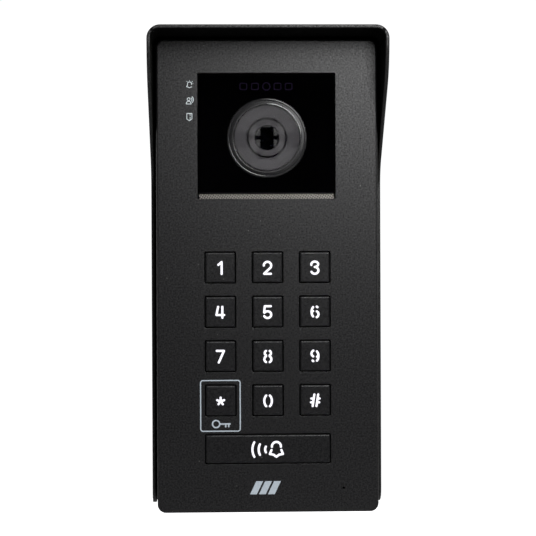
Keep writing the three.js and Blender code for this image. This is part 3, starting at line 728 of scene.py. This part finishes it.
def build_cover():
    form = Form()
    rear, edge, lip = -12.2, 0.9, 0.16
    outer = [(2.0, COVER_BACK_Y), (2.0, rear), (0.25, rear), (0.0, rear - 0.25)]
    outer += [(inset, FACE_Y + away) for inset, away in rounding(edge, 6)]
    form.wall(cover_outline, outer)

    def opening(width, height, radius, x, z):
        def outline(inset):
            corner = max(radius - inset, 0.1)
            return rounded_rect(width - 2 * inset, height - 2 * inset, corner, x, z)

        return outline

    window_opening = opening(52.5, 48, 0.45, -0.2, 51.35)
    openings = [window_opening]
    for _, x, z, (width, height), _, _ in KEYS:
        openings.append(opening(width + 2 * GAP, height + 2 * GAP, 0.65, x, z))
    openings.append(lambda inset: circle(0.45 - inset, *MICROPHONE_PLACE, 16))
    icon_holes = []
    for x, z, strokes in ICONS.values():
        icon_holes += drawn(strokes, ICON_STROKE, x, z)

    form.sheet([cover_outline(edge), *[o(-lip) for o in openings], *icon_holes], FACE_Y)
    form.sheet([cover_outline(2.0), *[o(0) for o in openings], *icon_holes], COVER_BACK_Y)
    for outline in openings:
        form.wall(outline, [(0, COVER_BACK_Y)] + [(-i, FACE_Y + a) for i, a in rounding(lip, 3)])
    form.straight(icon_holes, COVER_BACK_Y, FACE_Y)
    for x, z in SCREW_PLACES:
        post = [(3.5, COVER_BACK_Y - 0.5), (3.5, -13.5), (3.3, -13.3)]
        screw_hole = [(1.9, -13.3), (1.75, -13.45), (1.75, -24), (0, -24.4)]
        form.turned(post + screw_hole, x, z, 24)
    piece("cover", form, COAT, stands_for=["front_cover"])


def build_icons():
    """Clear ink fills the cut-outs, level with the face."""
    for name, (x, z, strokes) in ICONS.items():
        form = Form()
        form.slab(drawn(strokes, ICON_STROKE - 0.02, x, z), FACE_Y - 0.02, COVER_BACK_Y)
        piece(name, form, ICON_GLOW.material)


# ---------- window, night lights and mesh ----------

PANE_FRONT_Y = -29.2
PANE_BACK_Y, PANE_FLANGE_BACK_Y = -27.2, -26.2
PANE = (51.9, 45.3, -0.2, 52.4)  # width, height, centre x and z
DOME_PLACE = (0.0, 50.7)
EYE_HOLE_RADIUS = 15.45
NIGHT_LIGHTS = [-8.87, -4.46, -0.12, 4.14, 8.36]
NIGHT_Z = 70.3
LIGHT_SENSOR_NUMBER = 3  # the middle one is round


def build_window():
    form = Form()
    width, height, x, z = PANE

    def pane(inset):
        return rounded_rect(width - 2 * inset, height - 2 * inset, 0.35, x, z)

    def flange(inset):
        return rounded_rect(54 - 2 * inset, 47.6 - 2 * inset, 0.6, 0, 53.55)

    edge = 0.2
    hole = circle(EYE_HOLE_RADIUS, *DOME_PLACE, 96)
    form.wall(pane, [(0, PANE_BACK_Y)] + [(i, PANE_FRONT_Y + a) for i, a in rounding(edge)])
    form.sheet([pane(edge), hole], PANE_FRONT_Y)
    form.wall(flange, [(0, PANE_BACK_Y), (0, PANE_FLANGE_BACK_Y)])
    form.sheet([flange(0), pane(0)], PANE_BACK_Y)
    form.sheet([flange(0), hole], PANE_FLANGE_BACK_Y)
    form.straight([hole], PANE_FRONT_Y, PANE_FLANGE_BACK_Y)
    piece(
        "window_pane", form, ACRYLIC.material, stands_for=["camera_window"]
    )


def build_night_windows():
    """The night lights show through the dark pane as faint violet outlines."""
    for number, x in enumerate(NIGHT_LIGHTS, 1):
        form = Form()
        if number == LIGHT_SENSOR_NUMBER:
            loops = [circle(1.6, x, NIGHT_Z), circle(1.2, x, NIGHT_Z)]
        else:
            loops = [
                rounded_rect(2.95, 2.75, 0.6, x, NIGHT_Z),
                rounded_rect(2.25, 2.05, 0.45, x, NIGHT_Z),
            ]
        form.slab(loops, PANE_FRONT_Y - 0.015, PANE_FRONT_Y + 0.05)
        piece(f"night_window_{number}", form, LED_TINT.material)


def clipped(loop, x0, x1, z0, z1):
    """The part of a convex loop inside a rectangle."""
    for axis, limit, sign in ((0, x0, 1), (0, x1, -1), (1, z0, 1), (1, z1, -1)):
        kept = []
        for here, ahead in zip(loop, loop[1:] + loop[:1]):
            inside, inside_ahead = (sign * (point[axis] - limit) >= 0 for point in (here, ahead))
            if inside:
                kept.append(here)
            if inside != inside_ahead:
                share = (limit - here[axis]) / (ahead[axis] - here[axis])
                kept.append(tuple(h + share * (a - h) for h, a in zip(here, ahead)))
        loop = kept
    return loop


def build_mesh_strip():
    """A perforated strip; its square grid of holes is turned by 30 degrees."""
    form = Form()
    low, high, front, rear = 27.5, 29.25, -29.15, -28.4
    left, right = -25.8, 25.4
    pitch, across, along = 0.809, 0.365, 0.4
    turn = Matrix.Rotation(math.radians(-30), 2)
    oval = [turn @ Vector(point) for point in bend(0, 0, across, along, 0, 324, 9)]
    centre = Vector(((left + right) / 2, (low + high) / 2))
    reach = 40  # rows of holes each way from the middle, more than the strip needs
    holes = []
    for i in range(-reach, reach + 1):
        for j in range(-reach, reach + 1):
            x, z = centre + turn @ Vector((i * pitch, j * pitch))
            hole = clipped([(x + dx, z + dz) for dx, dz in oval], left, right, low, high)
            if len(hole) > 2 and abs(area(hole)) > 0.01:
                holes.append(hole)
    outline = rounded_rect(right - left, high - low, 0.05, *centre, steps=2)
    form.slab([outline, *holes], rear, front)
    piece(
        "mesh_strip", form, STEEL_MESH.material,
        stands_for=["speaker_mesh"],
    )


# ---------- the camera's eye ----------

def build_eye_ring():
    ring = Form()
    ridge = [(14.62 + dr, -29.62 - dy) for dr, dy in bend(0, 0, 0.46, 0.44, 0, 180, 14)]
    lip = [(12.98 + dr, -29.85 - dy) for dr, dy in bend(0, 0, 0.32, 0.36, 0, 180, 12)]
    profile = [(14.1, -26.2), (15.2, -26.2), (15.2, -29.5), (15.1, -29.62)] + ridge
    profile += [(14.14, -29.78), (13.32, -29.78)] + lip
    profile += [(12.66, -29.68), (14.1, -29.68), (14.1, -26.2)]
    ring.turned(profile, *DOME_PLACE, 128)
    made = piece("eye_ring", ring, BEZEL.material, stands_for=["dome_bezel"])

    def on_the_lip(x, y, z):
        return math.hypot(x - DOME_PLACE[0], z - DOME_PLACE[1]) < 13.4

    second_look(made, LIP_BLACK.material, on_the_lip)


def build_eye_dome():
    dome = Form()
    crown_radius, crown_y, wall = 30.0, -34.6, 0.8
    centre_y = crown_y + crown_radius

    def cap(radius, edge, steps):
        reach = [edge * step / steps for step in range(steps + 1)]
        return [(r, centre_y - math.sqrt(radius**2 - r**2)) for r in reach]

    shoulder = [(12.46, -31.85), (12.55, -31.7), (12.59, -31.4), (12.6, -29.64)]
    foot = [(12.65, -29.6), (13.5, -29.6), (13.7, -29.5), (13.8, -29.4), (13.8, -28.2)]
    bore = [(12.3, -28.2), (12.3, -30.9), (12.25, -31.1), (12.15, -31.2)]
    inside = cap(crown_radius - wall, 12.0, 14)[::-1]
    profile = cap(crown_radius, 12.35, 18) + shoulder + foot + bore + inside
    dome.turned(profile, *DOME_PLACE, 128)
    piece("eye_dome", dome, CLEAR.material, stands_for=["lens_dome"], sharp=50)


def build_eye_barrel():
    barrel = Form()
    profile = [(4.5, -18.2), (4.5, -29.6), (4.72, -30.2)]
    profile += [(4.72, -30.55), (4.8, -30.7), (5.0, -30.75)]
    for groove in range(4):
        r, y = 5.2 + groove * 0.37, -30.7 + groove * 0.12
        profile += [(r, y), (r + 0.26, y + 0.04), (r + 0.3, y + 0.14), (r + 0.35, y + 0.14)]
    profile += [(6.85, -30.2), (6.95, -30.05), (6.95, -26.5), (7.95, -26.5)]
    profile += [(7.95, -18.2), (4.5, -18.2)]
    barrel.turned(profile, *DOME_PLACE, 96)
    piece(
        "eye_barrel", barrel, BARREL_PAINTED_REFLECTION.material, stands_for=["lens_barrel"]
    )


def build_eye_lens():
    lens = Form()
    lens_radius, edge, tip_y = 18.0, 4.6, -31.2
    reach = [edge * step / 12 for step in range(13)]
    front = [(r, tip_y + lens_radius - math.sqrt(lens_radius**2 - r**2)) for r in reach]
    lens.turned(front + [(4.6, -28.5), (4.4, -27.3), (0, -27.3)], *DOME_PLACE, 96)
    piece("eye_lens", lens, LENS.material, stands_for=["lens_element"])


def build_eye_holder():
    holder = Form()
    profile = [(8.3, -16.9), (8.3, -29.6), (7.65, -29.6), (7.65, -30.1), (7.75, -30.2)]
    profile += [(12.1, -30.2), (12.2, -30.1), (12.25, -27.3), (13.6, -27.3), (13.8, -27.2)]
    profile += [(13.8, -26.9), (11.2, -26.9), (11, -26.7), (11, -16.9), (8.3, -16.9)]
    holder.turned(profile, *DOME_PLACE, 96)
    piece(
        "eye_holder", holder, EYE_GREY_PAINTED_REFLECTION.material, stands_for=["lens_holder"]
    )


# ---------- keys ----------

KEY_FRONT_Y = -30.5
LIP_FRONT_Y, LIP_REAR_Y = -27.2, -26.4
CAP_WALL = 1.0
STEM_RADIUS = 1.6
KEY_BEVEL = [(0, 0.46), (0.03, 0.38), (0.26, 0.1), (0.6, 0)]  # (inset, distance from the face)


def build_key(name, x, z, size, strokes, stems):
    width, height = size

    def cap_outline(inset):
        radius = min(max(KEY_CORNER - inset, 0.12), 0.9)
        return rounded_rect(width - 2 * inset, height - 2 * inset, radius, x, z)

    legend = drawn(strokes, LEGEND_STROKE, x, z)
    cap = Form()
    back_y = KEY_FRONT_Y + CAP_WALL
    stations = [(CAP_WALL, back_y), (CAP_WALL, LIP_REAR_Y)]
    stations += [(-1.05, LIP_REAR_Y), (-1.15, LIP_REAR_Y - 0.1)]
    stations += [(-1.15, LIP_FRONT_Y + 0.1), (-1.05, LIP_FRONT_Y), (0, LIP_FRONT_Y)]
    stations += [(inset, KEY_FRONT_Y + away) for inset, away in KEY_BEVEL]
    cap.wall(cap_outline, stations)
    cap.sheet([cap_outline(KEY_BEVEL[-1][0]), *legend], KEY_FRONT_Y)
    cap.sheet([cap_outline(CAP_WALL), *legend], back_y)
    cap.straight(legend, KEY_FRONT_Y, back_y)
    piece(f"{name}_cap", cap, KEY_COAT, body=name, stands_for=[name], sharp=13)

    insert = Form()
    block_front, block_rear = -29.2, -26.2
    light_front = KEY_FRONT_Y - 0.01
    filling = drawn(strokes, LEGEND_STROKE - 0.02, x, z)
    insert.sheet(filling, light_front)
    insert.straight(filling, light_front, block_front)

    def block(inset):
        return rounded_rect(width - 2.6 - 2 * inset, height - 2.6 - 2 * inset, 0.5, x, z)

    holes = [circle(STEM_RADIUS, x + dx, z, 24) for dx in stems]
    insert.wall(block, [(0, block_rear), (0, block_front + 0.2), (0.2, block_front)])
    insert.sheet([block(0.2), *filling], block_front)
    insert.sheet([block(0), *holes], block_rear)
    for dx in stems:
        stem = [(STEM_RADIUS, block_rear), (STEM_RADIUS, -25.95), (1.5, -25.8), (0, -25.8)]
        insert.turned(stem, x + dx, z, 24)
    piece(
        f"{name}_glow", insert, GLOW.material, body=name,
        stands_for=[f"{name}_light"],
    )


# ---------- the silicone mat ----------

MAT_FRONT_Y, MAT_REAR_Y = -24.6, -23.6


def build_mat():
    sheet = Form()
    sheet.soft_slab(
        lambda inset: rounded_rect(58 - 2 * inset, 83.6 - 2 * inset, 2 - inset, 0, -33.2),
        MAT_FRONT_Y, MAT_REAR_Y, 0.2,
    )
    piece("mat_sheet", sheet, SILICONE.material, stands_for=["keypad_mat"])
    for name, x, z, _, _, stems in KEYS:
        domes = Form()
        for dx in stems:
            profile = [(0, -25.5), (2.0, -25.5), (2.2, -25.42), (3.05, -24.7)]
            profile += [(3.3, MAT_FRONT_Y), (0, MAT_FRONT_Y)]
            domes.turned(profile, x + dx, z, 32)
        dome = piece(f"mat_dome_{name}", domes, SILICONE.material)
        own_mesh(dome)


# ---------- printed marks ----------

INK_REAR_Y, INK_FRONT_Y = FACE_Y + 0.02, FACE_Y - 0.02


def build_prints():
    """The frame round the star key, the key pictogram and a plain maker's ornament."""
    form = Form()
    frame_x, frame_z, frame_w, frame_h, line = -18.13, -51.27, 15.5, 19.75, 0.44
    form.slab(
        [
            rounded_rect(frame_w, frame_h, 1.15, frame_x, frame_z),
            rounded_rect(frame_w - 2 * line, frame_h - 2 * line, 0.7, frame_x, frame_z),
        ],
        INK_REAR_Y, INK_FRONT_Y,
    )
    piece("star_frame", form, INK.material)

    form = Form()
    ring_x, ring_z = -19.8, -58.2
    strokes = [
        bend(ring_x, ring_z, 1.37, 1.37, 0, 360, 32),
        [(ring_x + 1.4, ring_z), (ring_x + 5.3, ring_z)],
        [(ring_x + 3.65, ring_z), (ring_x + 3.65, ring_z - 1.05)],
        [(ring_x + 4.8, ring_z), (ring_x + 4.8, ring_z - 1.05)],
    ]
    form.slab(drawn(strokes, 0.55), INK_REAR_Y, INK_FRONT_Y)
    piece("key_pictogram", form, INK.material)

    form = Form()
    low, high, slant, width = -85.1, -80.1, 2.4, 2.6
    bars = []
    for left in (-7.0, -3.6, -0.2):
        right = left + width
        bars.append([(left, low), (right, low), (right + slant, high), (left + slant, high)])
    form.slab(bars, INK_REAR_Y, INK_FRONT_Y)
    piece("ornament", form, INK.material)


# ---------- terminals and screws ----------

def build_terminals():
    form = Form()
    front, rear = -11.1, -4.6
    width, height, x, z = 34, 12, 0, -45
    ways = [(i - 2.5) * 5.4 for i in range(6)]
    entry_z, entry_depth = -46.8, 3
    screw_z, screw_depth = -41.9, 1
    entries = [rounded_rect(3.2, 4.4, 0.4, way, entry_z, 3) for way in ways]
    screws = [circle(1.5, way, screw_z, 24) for way in ways]

    def body(inset):
        return rounded_rect(width - 2 * inset, height - 2 * inset, 0.4, x, z, 3)

    form.wall(body, [(0, front), (0, rear - 0.3), (0.3, rear)])
    form.sheet([body(0)], front)
    form.sheet([body(0.3), *entries, *screws], rear)
    for loops, depth in ((entries, entry_depth), (screws, screw_depth)):
        form.straight(loops, rear, rear - depth)
        for loop in loops:
            form.sheet([loop], rear - depth)
    piece(
        "terminals", form, TERMINAL.material, stands_for=["terminal_block"]
    )
    for number, way in enumerate(ways, 1):
        screw = Form()
        slot_shape = rounded_rect(2.3, 0.45, 0.1, way, screw_z, 2)
        screw.slab([circle(1.35, way, screw_z, 24), slot_shape], rear - 0.95, rear - 0.35)
        screw.slab([circle(1.3, way, screw_z, 24)], rear - 0.98, rear - 0.9)
        piece(f"terminal_screw_{number}", screw, SCREW_STEEL.material)


def star_recess(radius, x, z, points=6):
    loop = []
    for step in range(points * 4):
        angle = math.tau * step / (points * 4)
        loop.append((
            x + radius * (1 + 0.16 * math.cos(points * angle)) * math.cos(angle),
            z + radius * (1 + 0.16 * math.cos(points * angle)) * math.sin(angle),
        ))
    return loop


def build_screws():
    for number, (x, z) in enumerate(SCREW_PLACES, 1):
        form = Form()
        head_front = -4.4
        recess = star_recess(1.25, x, z)

        def head(inset, x=x, z=z):
            return circle(2.8 - inset, x, z, 40)

        top, recess_floor = head_front + 2, head_front + 0.8
        form.wall(head, [(0, head_front), (0, top - 0.5), (0.18, top - 0.15), (0.6, top)])
        form.sheet([head(0.6), recess], top)
        form.straight([recess], top, recess_floor)
        form.sheet([recess], recess_floor)
        form.sheet([head(0), circle(1.4, x, z, 40)], head_front)
        shank = [(1.4, head_front)]
        for turn in range(16):
            y = -5.5 - turn
            shank += [(1.4, y), (1.1, y - 0.5)]
        form.turned(shank + [(0.9, -22), (0, -22)], x, z, 40)
        piece(
            f"cover_bolt_{number}", form, SCREW_STEEL.material,
            stands_for=[f"cover_screw_{number}"],
        )


def build_lock_screw():
    form = Form(level)
    head_low, head_high = -89.6, -87.7
    x, y = LOCK_SCREW_PLACE
    recess = star_recess(1.2, x, y)

    def head(inset):
        return circle(2.8 - inset, x, y, 40)

    form.wall(head, [(0, head_high), (0, head_low + 0.5), (0.2, head_low + 0.15), (0.6, head_low)])
    form.sheet([head(0.6), recess], head_low)
    form.straight([recess], head_low, head_low + 1.1)
    form.sheet([recess], head_low + 1.1)
    form.sheet([head(0), circle(1.4, x, y, 40)], head_high)
    shank = [(1.4, head_high), (1.4, -86), (1.1, -85.4), (1.4, -84.8), (1.1, -84)]
    shank += [(1.4, -83.2), (1.1, -82.4), (1.4, -81.6), (1.1, -80.8), (0.9, -78), (0, -78)]
    form.turned(shank, x, y, 40)
    piece(
        "lock_screw", form, SCREW_STEEL.material,
        stands_for=["security_screw"],
    )


# ---------- what stays from the CAD ----------

NODE_LOOKS = {
    "rear_housing": BLACK_PLASTIC,
    "housing_seal": RUBBER,
    "camera_board": BOARD,
    "image_sensor": LENS,
    "ir_board": BOARD,
    "light_sensor": LED_TINT,
    "speaker_gasket": RUBBER,
    "speaker_frame": SPEAKER_STEEL,
    "speaker_cone": PAPER,
    "microphone_boot": RUBBER,
    "microphone": SPEAKER_STEEL,
    "status_light_guide": CLEAR,
    "keypad_board": BOARD,
    "main_board": BOARD,
    "ir_led_1": LED_TINT,
    "ir_led_2": LED_TINT,
    "ir_led_3": LED_TINT,
    "ir_led_4": LED_TINT,
}


def dress_cad():
    for name, recipe in NODE_LOOKS.items():
        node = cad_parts[name]
        for material_slot in node.material_slots:
            material_slot.material = recipe.material


# ---------- light, floor and surroundings ----------

TENT_STRENGTH = 0.8
SEEN_STRENGTH = 1.05  # what the camera sees directly is plain white


def build_world():
    """A white tent: bright all round, with a dark cross where the camera looks in.

    Angles are in degrees, from straight in front of the panel.
    """
    world = bpy.data.worlds.new("tent")
    scene.world = world
    world.use_nodes = True
    tree = world.node_tree
    nodes, links = tree.nodes, tree.links
    nodes.clear()

    def maths(operation, *values, clamp=False):
        made = nodes.new("ShaderNodeMath")
        made.operation = operation
        made.use_clamp = clamp
        for socket, value in zip(made.inputs, values):
            if isinstance(value, (int, float)):
                socket.default_value = value
            else:
                links.new(value, socket)
        return made.outputs["Value"]

    def within(value, centre, half, soft):
        """1 where the value is within half of the centre, with a soft border."""
        away = maths("ABSOLUTE", maths("SUBTRACT", value, centre))
        return maths("DIVIDE", maths("SUBTRACT", half + soft, away), soft, clamp=True)

    direction = nodes.new("ShaderNodeTexCoord").outputs["Generated"]
    split = nodes.new("ShaderNodeSeparateXYZ")
    links.new(direction, split.inputs["Vector"])
    x, y, z = (split.outputs[axis] for axis in "XYZ")
    front = maths("MULTIPLY", y, -1.0)
    azimuth = maths("MULTIPLY", maths("ARCTAN2", x, front), 180 / math.pi)
    height = maths("MULTIPLY", maths("ARCSINE", z), 180 / math.pi)

    upright = maths("MULTIPLY", within(azimuth, 1.7, 16.0, 2.5), within(height, 0.0, 29.0, 3.0))
    across = maths("MULTIPLY", within(azimuth, 1.7, 27.0, 3.0), within(height, 4.0, 3.5, 3.0))
    slot = maths("MAXIMUM", upright, across)
    aside = maths("ABSOLUTE", azimuth)
    band = maths("MULTIPLY", within(aside, 38.0, 10.0, 5.0), within(height, 0.0, 9.0, 5.0))
    dim = maths("MULTIPLY", within(aside, 100.0, 50.0, 12.0), within(height, 0.0, 28.0, 8.0))
    shade = maths("MAXIMUM", maths("MULTIPLY", band, 0.85), maths("MULTIPLY", dim, 0.5))
    tent = maths("MULTIPLY", maths("SUBTRACT", 1.0, slot), maths("SUBTRACT", 1.0, shade))
    patch = maths("MULTIPLY", within(azimuth, 64.0, 10.0, 6.0), within(height, 34.0, 12.0, 6.0))
    tent = maths("ADD", tent, maths("MULTIPLY", patch, 2.0))

    lit = nodes.new("ShaderNodeBackground")
    lit.inputs["Color"].default_value = (1.0, 1.0, 1.0, 1)
    links.new(maths("MULTIPLY", tent, TENT_STRENGTH), lit.inputs["Strength"])
    seen = nodes.new("ShaderNodeBackground")
    seen.inputs["Color"].default_value = (1, 1, 1, 1)
    seen.inputs["Strength"].default_value = SEEN_STRENGTH
    path = nodes.new("ShaderNodeLightPath")
    mix = nodes.new("ShaderNodeMixShader")
    links.new(path.outputs["Is Camera Ray"], mix.inputs["Fac"])
    links.new(lit.outputs["Background"], mix.inputs[1])
    links.new(seen.outputs["Background"], mix.inputs[2])
    out = nodes.new("ShaderNodeOutputWorld")
    links.new(mix.outputs["Shader"], out.inputs["Surface"])


def area_light(name, place, target, size, power, spared=(), only=()):
    """A soft box. It lights every piece but the spared ones, or only the named ones."""
    data = bpy.data.lights.new(name, "AREA")
    data.shape = "RECTANGLE"
    data.size, data.size_y = size
    data.energy = power
    light = bpy.data.objects.new(name, data)
    light.location = place
    aim = Vector(target) - Vector(place)
    light.rotation_euler = aim.to_track_quat("-Z", "Y").to_euler()
    scene.collection.objects.link(light)
    linked = bpy.data.collections.new(f"{name}_receivers")
    light.light_linking.receiver_collection = linked
    for piece_name in only or spared:
        linked.objects.link(bpy.data.objects[piece_name])
    for entry in linked.collection_objects:
        entry.light_linking.link_state = "INCLUDE" if only else "EXCLUDE"


def build_floor():
    mesh = bpy.data.meshes.new("floor")
    near, far, side, level_z = -0.34, 0.3, 0.7, -0.135
    outline = [(-side, near), (side, near), (side, far), (-side, far)]
    corners = [(x, y, level_z) for x, y in outline]
    mesh.from_pydata(corners, [], [(0, 1, 2, 3)])
    mesh.materials.append(PALE_FLOOR.material)
    floor = bpy.data.objects.new("floor", mesh)
    scene.collection.objects.link(floor)


scene.view_settings.view_transform = "Standard"
scene.cycles.denoising_prefilter = "FAST"  # keeps the fine mesh strip and the grain
build_world()
build_floor()

build_hood()
build_cover()
build_icons()
build_window()
build_night_windows()
build_mesh_strip()
build_eye_ring()
build_eye_dome()
build_eye_barrel()
build_eye_lens()
build_eye_holder()
for key in KEYS:
    build_key(*key)
build_mat()
build_prints()
build_terminals()
build_screws()
build_lock_screw()
dress_cad()
glossy = ["eye_dome", "eye_lens", "eye_barrel", "eye_holder", "window_pane"]
glossy += [f"night_window_{number}" for number in range(1, 6)]
area_light("key_light", (0.094, -0.45, 0.21), (0.0, -0.03, 0.03), (0.13, 0.25), 2.1, spared=glossy)
for name, x in (("left_light", -0.55), ("right_light", 0.55)):
    area_light(
        name, (x, 0.0, 0.1), (0.0, -0.02, 0.0), (0.3, 0.3), 0.35, only=["hood", "cover"]
    )
